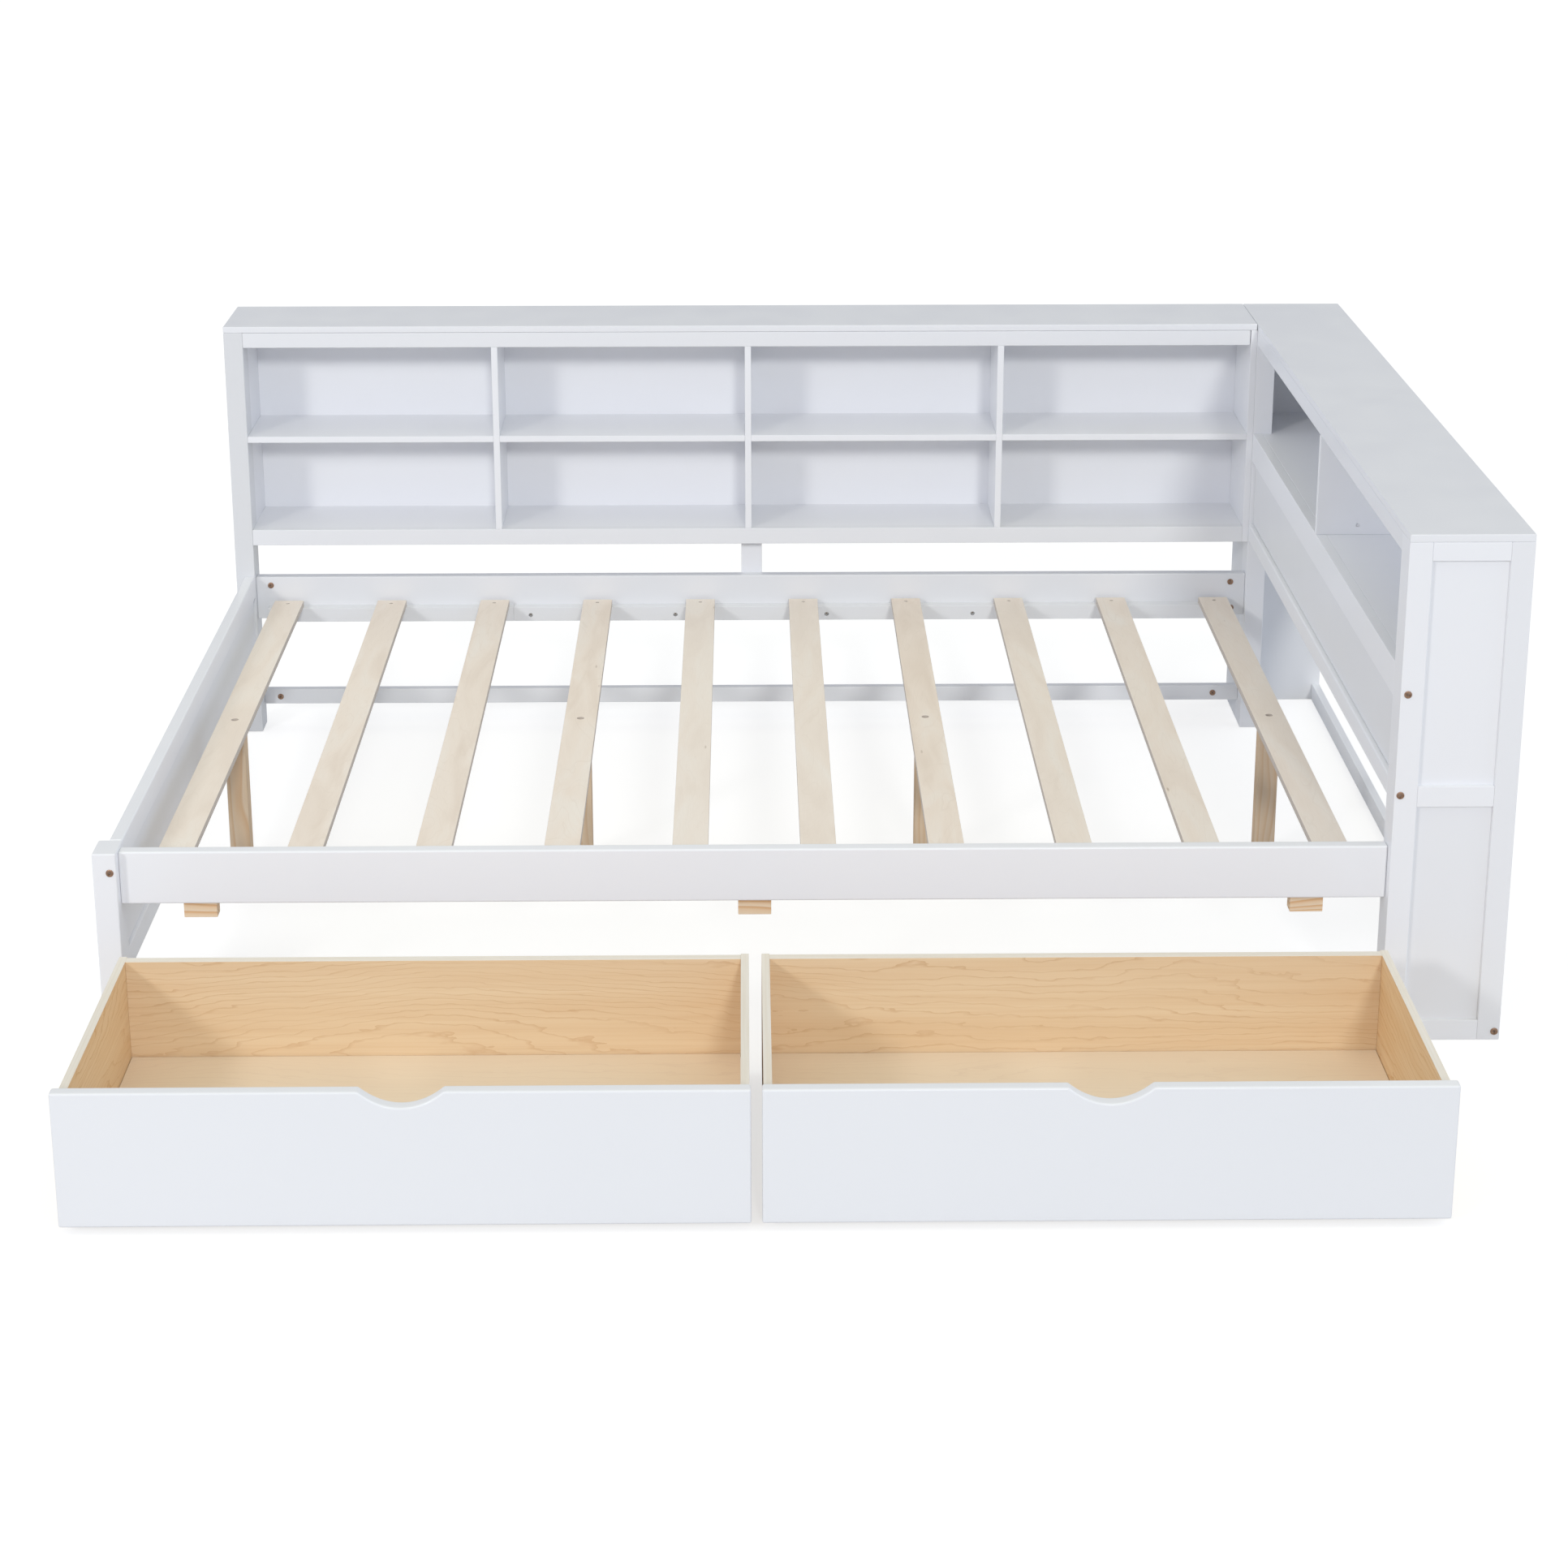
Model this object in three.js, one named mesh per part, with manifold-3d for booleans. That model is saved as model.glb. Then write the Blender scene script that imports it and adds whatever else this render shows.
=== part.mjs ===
// Full-size daybed with an L of open bookcases and two rolling under-bed drawers.
//
// Millimetres, +Z up. While it is being laid out, X = 0 is the inner face of the foot end, Y = 0 is the
// outer face of the front rail and Z = 0 is the floor. The finished group is shifted so that its origin
// is the middle of the bed's footprint, drawers pulled out, on the floor.
//
// The headboard stands at +X, the back bookcase at +Y, and the drawers are drawn out towards -Y.

import * as THREE from 'three';
import { mergeVertices } from 'three/addons/utils/BufferGeometryUtils.js';
import Module from 'manifold-3d';

const manifold = await Module();
manifold.setup();

// ---------------------------------------------------------------- driving dimensions

const innerLength = 1930;      // foot end to headboard: a 1905 mm mattress and room for bedding
const innerWidth = 1390;       // front rail to back rail: a 1372 mm mattress and room for bedding
const overallHeight = 815;     // both bookcases
const bookcaseDepth = 184;     // back bookcase, front to back
const headboardWidth = 186;    // headboard bookcase, bed side to outer side

const topThickness = 12;       // top boards
const boardThickness = 12;     // shelves, dividers and side boards
const faceRailThickness = 18;  // rails on the fronts of the bookcases
const endBoardThickness = 20;  // foot end and headboard ends
const panelThickness = 6;      // thin panels held in frames, and the back panel
const panelRecess = 8;         // how far a framed panel lies behind its frame

const railThickness = 22;
const railBottom = 230;
const railTop = 315;
const ledgeHeight = 28;        // ledge along the foot of each rail, which carries the slats
const ledgeDepth = 22;

const postWidth = 36;
const postDepth = 58;
const postSetForward = 20;     // front posts stand this far in front of the front rail's face
const backPostSetForward = 13; // back posts stand this far in front of the back rail's face
const stileWidth = 35;
const stileDepth = 55;

const footTop = 320;
const footTopRailBottom = 278;
const footBottomRailTop = 142;
const footBottomRailBottom = 104;

const slatCount = 10;
const slatWidth = 56;
const slatThickness = 12;
const slatEndInset = 64;       // middle of the first slat from the foot end
const slatEndGap = 10;         // slat end to rail
const legSize = 35;
const slatsPerLeg = 3;         // every third slat stands on a centre leg

const stopWidth = 51;
const stopDepth = 24;
const stopBottom = 198;
const stopInset = 116;         // middle of an end stop from the end of the bed

const stretcherBottom = 44;
const stretcherTop = 74;
const stretcherThickness = 18;
const supportWidth = 40;       // short upright between the back rail and the back bookcase

const bookcaseBottom = 383;
const bottomShelfTop = 414;
const middleShelfTop = 600;
const topRailBottom = 774;
const bayCount = 4;
const topOverhangAtBack = 8;   // back bookcase: top board past the back panel

const ledgeRailTop = 419;      // headboard, bed side: rail below the framed panel
const ledgeRailBottom = 386;
const shelfRailBottom = 546;   // headboard, bed side: rail along the shelf's edge
const endRailHeight = 33;      // rails of the headboard's front end
const outerStretcherThickness = 15;

const drawerGap = 15;          // between the drawer fronts and at both ends of the row
const drawerFrontBottom = 12;
const drawerFrontTop = 213;
const drawerFrontThickness = 20;
const drawerFrontFace = -605;  // drawers drawn out
const drawerFrontOverhang = 2; // front past the side boards
const drawerSideBottom = 14;
const drawerSideTop = 195;
const drawerBoxDepth = 468;
const drawerSideThickness = 12;
const drawerBackThickness = 15;
const drawerBackInset = 4;
const drawerBottomLow = 34;
const drawerBottomHigh = 40;
const scoopWidth = 124;
const scoopDepth = 15;

const wheelRadius = 15;
const wheelWidth = 12;
const wheelClearance = 0.3;    // wheel bore to axle
const axleRadius = 3;
const bracketThickness = 2;
const bracketCheekGap = 1;     // wheel to bracket cheek
const bracketTopLength = 30;
const bracketFootLength = 12;
const bracketBelowAxle = 6;
const wheelSideInset = 20;     // middle of the wheel from the side board
const wheelEndInset = 45;      // axle from the front, and from the back end of the side board
const roundSegments = 32;

// ---------------------------------------------------------------- places worked out from them

const frontPlane = -postSetForward;
const backRailFront = railThickness + innerWidth;
const backRailBack = backRailFront + railThickness;
const backPlane = backRailFront - backPostSetForward;
const backPostBack = backPlane + postDepth;
const backEdge = backPlane + bookcaseDepth;
const outerSide = innerLength + headboardWidth;
const topUnderside = overallHeight - topThickness;
const slatBottom = railBottom + ledgeHeight;
const headboardEndInner = backEdge - endBoardThickness;
const frontStileBack = frontPlane + stileDepth;
const railFaceBack = backPlane + faceRailThickness;
const bookcaseSideBack = backEdge - topOverhangAtBack;
const backPanelFront = bookcaseSideBack - panelThickness;

// ---------------------------------------------------------------- materials

const finish = (color, roughness, metalness = 0) =>
  new THREE.MeshStandardMaterial({ color, roughness, metalness });

const whitePaint = finish(0xe8eaee, 0.38);
const birchPly = finish(0xe2d5c5, 0.6);
const rawPine = finish(0xd8b78c, 0.7);
const mapleLaminate = finish(0xe0bf90, 0.45);
const darkNylon = finish(0x2e2f31, 0.5);

// ---------------------------------------------------------------- shape helpers

const bed = new THREE.Group();

function addPiece(name, material, geometry) {
  const piece = new THREE.Mesh(geometry, material);
  piece.name = name;
  bed.add(piece);
  return piece;
}

// A box between two corners, each range given as [low, high].
function boxGeometry([x0, x1], [y0, y1], [z0, z1]) {
  const geometry = new THREE.BoxGeometry(x1 - x0, y1 - y0, z1 - z0);
  return geometry.translate((x0 + x1) / 2, (y0 + y1) / 2, (z0 + z1) / 2);
}

function addBoard(name, material, xRange, yRange, zRange) {
  return addPiece(name, material, boxGeometry(xRange, yRange, zRange));
}

function outlineShape(points) {
  return new THREE.Shape(points.map(([a, b]) => new THREE.Vector2(a, b)));
}

// Shape in (y, z), extruded along X.
function extrudeAlongX(shape, [x0, x1], curveSegments = 12) {
  const geometry = new THREE.ExtrudeGeometry(shape, { depth: x1 - x0, bevelEnabled: false, curveSegments });
  const axes = new THREE.Matrix4().makeBasis(
    new THREE.Vector3(0, 1, 0), new THREE.Vector3(0, 0, 1), new THREE.Vector3(1, 0, 0));
  return geometry.applyMatrix4(axes).translate(x0, 0, 0);
}

// Shape in (x, z), extruded along Y.
function extrudeAlongY(shape, [y0, y1]) {
  const geometry = new THREE.ExtrudeGeometry(shape, { depth: y1 - y0, bevelEnabled: false });
  const axes = new THREE.Matrix4().makeBasis(
    new THREE.Vector3(1, 0, 0), new THREE.Vector3(0, 0, 1), new THREE.Vector3(0, -1, 0));
  return geometry.applyMatrix4(axes).translate(0, y1, 0);
}

// Shape in (x, y), extruded along Z.
function extrudeAlongZ(shape, [z0, z1]) {
  const geometry = new THREE.ExtrudeGeometry(shape, { depth: z1 - z0, bevelEnabled: false });
  return geometry.translate(0, 0, z0);
}

function toSolid(geometry) {
  const bare = geometry.clone();
  bare.deleteAttribute('normal');
  bare.deleteAttribute('uv');
  const merged = mergeVertices(bare);
  return new manifold.Manifold(new manifold.Mesh({
    numProp: 3,
    vertProperties: new Float32Array(merged.attributes.position.array),
    triVerts: new Uint32Array(merged.index.array),
  }));
}

// Joins pieces that are fixed together for good on the real bed into one closed solid.
function glued(geometries) {
  const solid = geometries.map(toSolid).reduce((whole, part) => whole.add(part));
  const mesh = solid.getMesh();
  const geometry = new THREE.BufferGeometry();
  geometry.setAttribute('position', new THREE.BufferAttribute(new Float32Array(mesh.vertProperties), 3));
  geometry.setIndex(new THREE.BufferAttribute(new Uint32Array(mesh.triVerts), 1));
  geometry.computeVertexNormals();
  return geometry;
}

// ---------------------------------------------------------------- bed frame

// Each long rail is an L in section: the rail, and the ledge glued along its inner foot.
function buildLongRails() {
  const frontInner = railThickness;
  const frontSection = outlineShape([
    [0, railBottom], [frontInner + ledgeDepth, railBottom], [frontInner + ledgeDepth, slatBottom],
    [frontInner, slatBottom], [frontInner, railTop], [0, railTop],
  ]);
  addPiece('front_rail', whitePaint, extrudeAlongX(frontSection, [0, innerLength]));

  const backSection = outlineShape([
    [backRailFront - ledgeDepth, railBottom], [backRailBack, railBottom], [backRailBack, railTop],
    [backRailFront, railTop], [backRailFront, slatBottom], [backRailFront - ledgeDepth, slatBottom],
  ]);
  addPiece('back_rail', whitePaint, extrudeAlongX(backSection, [0, innerLength]));
}

function buildFootEnd() {
  addBoard('foot_front_post', whitePaint,
    [-postWidth, 0], [frontPlane, frontPlane + postDepth], [0, footTop]);
  addBoard('back_left_post', whitePaint,
    [-postWidth, 0], [backPlane, backPostBack], [0, topUnderside]);

  // Frame and panel in one section: a thick top rail, a thin panel set back, a thick bottom rail.
  const outer = -endBoardThickness;
  const panelInner = -panelRecess;
  const panelOuter = panelInner - panelThickness;
  const section = outlineShape([
    [outer, footBottomRailBottom], [0, footBottomRailBottom], [0, footBottomRailTop],
    [panelInner, footBottomRailTop], [panelInner, footTopRailBottom], [0, footTopRailBottom],
    [0, footTop], [outer, footTop], [outer, footTopRailBottom],
    [panelOuter, footTopRailBottom], [panelOuter, footBottomRailTop], [outer, footBottomRailTop],
  ]);
  addPiece('foot_board', whitePaint,
    extrudeAlongY(section, [frontPlane + postDepth, backPlane]));
}

function slatMiddle(index) {
  const pitch = (innerLength - 2 * slatEndInset) / (slatCount - 1);
  return slatEndInset + index * pitch;
}

function buildSlatsAndLegs() {
  const slatY = [railThickness + slatEndGap, backRailFront - slatEndGap];
  const legY = (slatY[0] + slatY[1]) / 2;
  let legNumber = 0;
  for (let index = 0; index < slatCount; index += 1) {
    const x = slatMiddle(index);
    addBoard(`slat_${index + 1}`, birchPly,
      [x - slatWidth / 2, x + slatWidth / 2], slatY, [slatBottom, slatBottom + slatThickness]);
    if (index % slatsPerLeg === 0) {
      legNumber += 1;
      addBoard(`centre_leg_${legNumber}`, rawPine,
        [x - legSize / 2, x + legSize / 2], [legY - legSize / 2, legY + legSize / 2], [0, slatBottom]);
    }
  }
}

// Blocks under the front ledge that the closed drawer fronts come to rest against.
function buildDrawerStops() {
  const middles = [stopInset, innerLength / 2, innerLength - stopInset];
  middles.forEach((x, index) => {
    addBoard(`drawer_stop_${index + 1}`, rawPine, [x - stopWidth / 2, x + stopWidth / 2],
      [railThickness, railThickness + stopDepth], [stopBottom, railBottom]);
  });
}

function buildBackSupports() {
  addBoard('back_stretcher', whitePaint, [0, innerLength],
    [backPostBack - stretcherThickness, backPostBack], [stretcherBottom, stretcherTop]);
  addBoard('bookcase_support', whitePaint,
    [(innerLength - supportWidth) / 2, (innerLength + supportWidth) / 2],
    [backRailBack, backPostBack], [railBottom, bottomShelfTop - boardThickness]);
}

// ---------------------------------------------------------------- back bookcase

function buildBackBookcase() {
  const sideX = innerLength - boardThickness;

  addPiece('bookcase_top_board', whitePaint, glued([
    boxGeometry([-postWidth, innerLength], [backPlane, backEdge], [topUnderside, overallHeight]),
    boxGeometry([0, sideX], [backPlane, railFaceBack], [topRailBottom, topUnderside]),
  ]));
  addBoard('bookcase_left_side', whitePaint,
    [-boardThickness, 0], [backPostBack, bookcaseSideBack], [bookcaseBottom, topUnderside]);
  addBoard('bookcase_right_side', whitePaint,
    [sideX, innerLength], [backPlane, bookcaseSideBack], [bookcaseBottom, topUnderside]);
  addBoard('bookcase_back_panel', whitePaint,
    [0, sideX], [backPanelFront, bookcaseSideBack], [bookcaseBottom, topUnderside]);

  const shelfUnderside = bottomShelfTop - boardThickness;
  const bottomSection = outlineShape([
    [backPlane, bookcaseBottom], [railFaceBack, bookcaseBottom], [railFaceBack, shelfUnderside],
    [backPanelFront, shelfUnderside], [backPanelFront, bottomShelfTop], [backPlane, bottomShelfTop],
  ]);
  addPiece('bookcase_bottom_shelf', whitePaint, extrudeAlongX(bottomSection, [0, sideX]));

  // The middle shelf and the dividers cross in half laps: the shelf is slotted from the front,
  // and each divider from the back.
  const middleShelfUnderside = middleShelfTop - boardThickness;
  const lap = (backPlane + backPanelFront) / 2;
  const bayWidth = (sideX - (bayCount - 1) * boardThickness) / bayCount;
  const shelfOutline = [[0, backPlane]];
  for (let bay = 1; bay < bayCount; bay += 1) {
    const x0 = bay * bayWidth + (bay - 1) * boardThickness;
    const x1 = x0 + boardThickness;
    shelfOutline.push([x0, backPlane], [x0, lap], [x1, lap], [x1, backPlane]);
    const dividerOutline = outlineShape([
      [backPlane, bottomShelfTop], [backPanelFront, bottomShelfTop],
      [backPanelFront, middleShelfUnderside], [lap, middleShelfUnderside],
      [lap, middleShelfTop], [backPanelFront, middleShelfTop],
      [backPanelFront, topUnderside], [railFaceBack, topUnderside],
      [railFaceBack, topRailBottom], [backPlane, topRailBottom],
    ]);
    addPiece(`bookcase_divider_${bay}`, whitePaint, extrudeAlongX(dividerOutline, [x0, x1]));
  }
  shelfOutline.push([sideX, backPlane], [sideX, backPanelFront], [0, backPanelFront]);
  addPiece('bookcase_middle_shelf', whitePaint,
    extrudeAlongZ(outlineShape(shelfOutline), [middleShelfUnderside, middleShelfTop]));
}

// ---------------------------------------------------------------- headboard bookcase

function buildHeadboardEnds() {
  const inner = [innerLength, innerLength + stileWidth];
  const outer = [outerSide - stileWidth, outerSide];
  const between = [inner[1], outer[0]];
  const stileY = [frontPlane, frontStileBack];
  const railY = [frontPlane, frontPlane + endBoardThickness];
  const panelFront = frontPlane + panelRecess;
  const fullHeight = [0, topUnderside];
  addPiece('headboard_front_end', whitePaint, glued([
    boxGeometry(inner, stileY, fullHeight),
    boxGeometry(outer, stileY, fullHeight),
    boxGeometry(between, railY, [0, endRailHeight]),
    boxGeometry(between, railY, [ledgeRailBottom, ledgeRailTop]),
    boxGeometry(between, railY, [topRailBottom, topUnderside]),
    boxGeometry(between, [panelFront, panelFront + panelThickness], fullHeight),
  ]));

  const sidePanel = [innerLength, innerLength + faceRailThickness];
  addPiece('headboard_back_post', whitePaint, glued([
    boxGeometry([innerLength, innerLength + postWidth], [backPlane, backPostBack], fullHeight),
    boxGeometry(sidePanel, [backPostBack, headboardEndInner], fullHeight),
  ]));
  addBoard('headboard_back_end', whitePaint,
    [innerLength, outerSide], [headboardEndInner, backEdge], fullHeight);
}

function buildHeadboardShelving() {
  const railInner = innerLength + faceRailThickness;
  const panelSide = outerSide - boardThickness;
  const sideY = [frontStileBack, headboardEndInner];
  const openY = [frontStileBack, backPlane];
  const shelfUnderside = middleShelfTop - boardThickness;

  addPiece('headboard_top_board', whitePaint, glued([
    boxGeometry([innerLength, outerSide], [frontPlane, backEdge], [topUnderside, overallHeight]),
    boxGeometry([innerLength, railInner], openY, [topRailBottom, topUnderside]),
  ]));

  // Bed side: shelf edging rail, framed panel and ledge rail in one section.
  const panelInner = innerLength + panelRecess;
  const panelOuter = panelInner + panelThickness;
  const section = outlineShape([
    [innerLength, ledgeRailBottom], [railInner, ledgeRailBottom], [railInner, ledgeRailTop],
    [panelOuter, ledgeRailTop], [panelOuter, shelfRailBottom], [railInner, shelfRailBottom],
    [railInner, middleShelfTop], [innerLength, middleShelfTop], [innerLength, shelfRailBottom],
    [panelInner, shelfRailBottom], [panelInner, ledgeRailTop], [innerLength, ledgeRailTop],
  ]);
  addPiece('headboard_inner_board', whitePaint, extrudeAlongY(section, openY));

  addBoard('headboard_outer_panel', whitePaint,
    [panelSide, outerSide], sideY, [ledgeRailBottom, topUnderside]);
  addBoard('headboard_outer_stretcher', whitePaint,
    [outerSide - outerStretcherThickness, outerSide], sideY, [0, endRailHeight]);

  // The shelf runs the whole length of the headboard, notched round the front stiles and the back post.
  const stileInner = innerLength + stileWidth;
  const stileOuter = outerSide - stileWidth;
  const endBoardInner = frontPlane + endBoardThickness;
  const shelfOutline = outlineShape([
    [railInner, frontStileBack], [stileInner, frontStileBack], [stileInner, endBoardInner],
    [stileOuter, endBoardInner], [stileOuter, frontStileBack], [panelSide, frontStileBack],
    [panelSide, headboardEndInner], [railInner, headboardEndInner], [railInner, backPostBack],
    [innerLength + postWidth, backPostBack], [innerLength + postWidth, backPlane], [railInner, backPlane],
  ]);
  addPiece('headboard_shelf', whitePaint, extrudeAlongZ(shelfOutline, [shelfUnderside, middleShelfTop]));

  const dividerMiddle = (frontStileBack + backPlane) / 2;
  const dividerOutline = outlineShape([
    [innerLength, middleShelfTop], [panelSide, middleShelfTop], [panelSide, topUnderside],
    [railInner, topUnderside], [railInner, topRailBottom], [innerLength, topRailBottom],
  ]);
  addPiece('headboard_divider', whitePaint, extrudeAlongY(dividerOutline,
    [dividerMiddle - boardThickness / 2, dividerMiddle + boardThickness / 2]));
}

// ---------------------------------------------------------------- drawers

// The front board's top edge dips in a shallow arc that is the finger grip.
function drawerFrontShape([x0, x1]) {
  const middle = (x0 + x1) / 2;
  const halfWidth = scoopWidth / 2;
  const radius = (halfWidth * halfWidth + scoopDepth * scoopDepth) / (2 * scoopDepth);
  const arcMiddle = drawerFrontTop + radius - scoopDepth;
  const rightLip = Math.atan2(drawerFrontTop - arcMiddle, halfWidth);
  const leftLip = Math.atan2(drawerFrontTop - arcMiddle, -halfWidth);
  const shape = new THREE.Shape();
  shape.moveTo(x0, drawerFrontBottom);
  shape.lineTo(x1, drawerFrontBottom);
  shape.lineTo(x1, drawerFrontTop);
  shape.lineTo(middle + halfWidth, drawerFrontTop);
  shape.absarc(middle, arcMiddle, radius, rightLip, leftLip, true);
  shape.lineTo(x0, drawerFrontTop);
  shape.closePath();
  return shape;
}

// A ring about the axle, which runs along X.
function addWheel(name, x, y) {
  const outline = new THREE.Shape().absarc(0, 0, wheelRadius, 0, 2 * Math.PI);
  outline.holes.push(new THREE.Path().absarc(0, 0, axleRadius + wheelClearance, 0, 2 * Math.PI));
  const ring = extrudeAlongX(outline, [-wheelWidth / 2, wheelWidth / 2], roundSegments / 2);
  addPiece(name, darkNylon, ring).position.set(x, y, wheelRadius);
}

// A folded plate under the drawer's bottom: two cheeks that taper down to the axle between them.
function wheelBracket(x, y) {
  const inside = wheelWidth / 2 + bracketCheekGap;
  const outside = inside + bracketThickness;
  const plateY = [y - bracketTopLength / 2, y + bracketTopLength / 2];
  const cheek = outlineShape([
    [y - bracketFootLength / 2, wheelRadius - bracketBelowAxle],
    [y + bracketFootLength / 2, wheelRadius - bracketBelowAxle],
    [plateY[1], drawerBottomLow], [plateY[0], drawerBottomLow],
  ]);
  const axleLength = 2 * inside + bracketThickness;
  const axle = new THREE.CylinderGeometry(axleRadius, axleRadius, axleLength, roundSegments);
  return [
    boxGeometry([x - outside, x + outside], plateY, [drawerBottomLow - bracketThickness, drawerBottomLow]),
    extrudeAlongX(cheek, [x - outside, x - inside]),
    extrudeAlongX(cheek, [x + inside, x + outside]),
    axle.rotateZ(Math.PI / 2).translate(x, y, wheelRadius),
  ];
}

function buildDrawer(side, x0, x1) {
  const frontBack = drawerFrontFace + drawerFrontThickness;
  const boxEnd = frontBack + drawerBoxDepth;
  const left = x0 + drawerFrontOverhang;
  const right = x1 - drawerFrontOverhang;
  const insideX = [left + drawerSideThickness, right - drawerSideThickness];
  const backY = [boxEnd - drawerBackInset - drawerBackThickness, boxEnd - drawerBackInset];
  const sideZ = [drawerSideBottom, drawerSideTop];

  addPiece(`${side}_drawer_front`, whitePaint,
    extrudeAlongY(drawerFrontShape([x0, x1]), [drawerFrontFace, frontBack]));
  addBoard(`${side}_drawer_left_side`, mapleLaminate, [left, insideX[0]], [frontBack, boxEnd], sideZ);
  addBoard(`${side}_drawer_right_side`, mapleLaminate, [insideX[1], right], [frontBack, boxEnd], sideZ);
  addBoard(`${side}_drawer_back`, mapleLaminate, insideX, backY, [drawerBottomLow, drawerSideTop]);

  const brackets = [];
  const wheelX = { left: insideX[0] + wheelSideInset, right: insideX[1] - wheelSideInset };
  const wheelY = { front: frontBack + wheelEndInset, back: boxEnd - wheelEndInset };
  for (const [end, y] of Object.entries(wheelY)) {
    for (const [hand, x] of Object.entries(wheelX)) {
      brackets.push(...wheelBracket(x, y));
      addWheel(`${side}_drawer_${end}_${hand}_wheel`, x, y);
    }
  }
  addPiece(`${side}_drawer_bottom`, mapleLaminate, glued([
    boxGeometry(insideX, [frontBack, backY[0]], [drawerBottomLow, drawerBottomHigh]),
    ...brackets,
  ]));
}

function buildDrawers() {
  const width = (innerLength - 3 * drawerGap) / 2;
  buildDrawer('left', drawerGap, drawerGap + width);
  buildDrawer('right', 2 * drawerGap + width, 2 * drawerGap + 2 * width);
}

// ---------------------------------------------------------------- the bed

buildLongRails();
buildFootEnd();
buildSlatsAndLegs();
buildDrawerStops();
buildBackSupports();
buildBackBookcase();
buildHeadboardEnds();
buildHeadboardShelving();
buildDrawers();

bed.position.set((postWidth - outerSide) / 2, -(drawerFrontFace + backEdge) / 2, 0);

const model = new THREE.Group();
model.add(bed);

export default model;
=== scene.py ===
"""Looks of a full-size daybed with an L of open bookcases and two rolling under-bed drawers.

Every board of the bed is a piece of its own, with eased edges, so that joints show as fine grooves.
Lengths are in metres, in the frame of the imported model.
"""

import math
import random

import bmesh
import bpy
from mathutils import Matrix, Vector


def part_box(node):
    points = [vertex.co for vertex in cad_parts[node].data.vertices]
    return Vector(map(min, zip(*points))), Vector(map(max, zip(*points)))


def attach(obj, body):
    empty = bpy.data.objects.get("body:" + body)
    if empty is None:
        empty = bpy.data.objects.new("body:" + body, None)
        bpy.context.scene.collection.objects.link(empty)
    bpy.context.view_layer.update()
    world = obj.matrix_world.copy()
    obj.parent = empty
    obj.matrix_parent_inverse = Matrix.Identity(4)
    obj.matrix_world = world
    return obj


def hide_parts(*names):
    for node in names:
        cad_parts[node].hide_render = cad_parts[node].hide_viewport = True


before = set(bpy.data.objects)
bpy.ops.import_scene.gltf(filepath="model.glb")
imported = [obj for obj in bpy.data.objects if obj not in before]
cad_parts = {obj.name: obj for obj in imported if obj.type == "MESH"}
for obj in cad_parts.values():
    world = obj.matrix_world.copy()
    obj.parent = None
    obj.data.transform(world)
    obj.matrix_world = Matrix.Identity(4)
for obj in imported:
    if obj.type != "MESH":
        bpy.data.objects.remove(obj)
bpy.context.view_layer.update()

# ---------------------------------------------------------------- sizes

RAIL_THICKNESS = 0.022
LEDGE_HEIGHT = 0.028
FRONT_LEDGE_SHORT = 0.006           # the front ledge stops this far short of both ends of its rail
BACK_LEDGE_SHORT = (0.023, 0.047)   # and the back ledge this far, at the foot and at the head
BACK_LEDGE_JOINT = 0.501            # its two lengths meet this far from the rail's foot end
FACE_RAIL = 0.018
TOP_THICKNESS = 0.012
PANEL_THICKNESS = 0.006
PANEL_RECESS = 0.008    # the headboard's panels stand this far back in their frames,
FOOT_RECESS = 0.005     # and the foot panel this far
END_THICKNESS = 0.020
STILE_WIDTH = 0.035
BACK_POST = 0.058
FOOT_TOP_RAIL = 0.042
FOOT_BOTTOM_RAIL = 0.038
END_RAIL = 0.033
LEDGE_RAIL = 0.033
SHELF_RAIL = 0.054
BOTTOM_THICKNESS = 0.006

TONGUE = 0.004          # how far a panel goes into the groove of a rail
PANEL_GAP = 0.0026      # a panel stops this far short of the post behind it,
PANEL_FRONT_GAP = 0.001 # this far short of the one in front of it,
SILL_GAP = 0.0022       # and this far above the rail under it
SEAM = 0.0004           # the joint line between a top or shelf and the face rail glued under its edge
TOP_JOINT = 0.0012      # between the two top boards, where they meet in the corner
APRON_GAP = 0.0016      # between the long bookcase's face rail and its right side
APRON_RECESS = 0.0005   # and from the top board's edge back to that face rail
BOTTOM_GAP = 0.0010     # a drawer's bottom is this much smaller than its box

SLATS = 10
SLATS_PER_LEG = 3       # a centre leg under every third slat, from the first
DRAWER_STOPS = 3
DIVIDERS = 3

# The open dowel holes in the bookcases: how far back from the board's edge, and how high up.
PIN_HOLE = 0.0035
PIN_DEPTH = 0.008
LEFT_SIDE_PINS = (0.015, (0.720, 0.511))
RIGHT_SIDE_PINS = (0.098, (0.680, 0.504))
DIVIDER_PIN = (0.071, 0.617)
DIVIDER_PIN_DEPTH = 0.003

# Screw holes, by radius and depth, and the radius of the heads sunk in them.
LEDGE_HOLE = (0.0042, 0.008)
BACK_LEDGE_SCREWS = (0.534, 0.816, 1.111, 1.396)    # along the back rail, from its foot end
LEDGE_SCREW_HEIGHT = 0.012          # above the ledge's underside
LEDGE_HEAD_SINK = 0.0058            # from the ledge's face to its screw heads
SLAT_HOLE = (0.0035, 0.005)
SLAT_SCREW_INSET = 0.020            # from the slat's ends
SLAT_HEAD = 0.0028
LEG_HOLE = (0.0064, 0.0095)
LEG_HEAD = 0.00352
HEAD_CLEARANCE = 0.0015             # between a sunk head's underside and the floor of its hole

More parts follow.
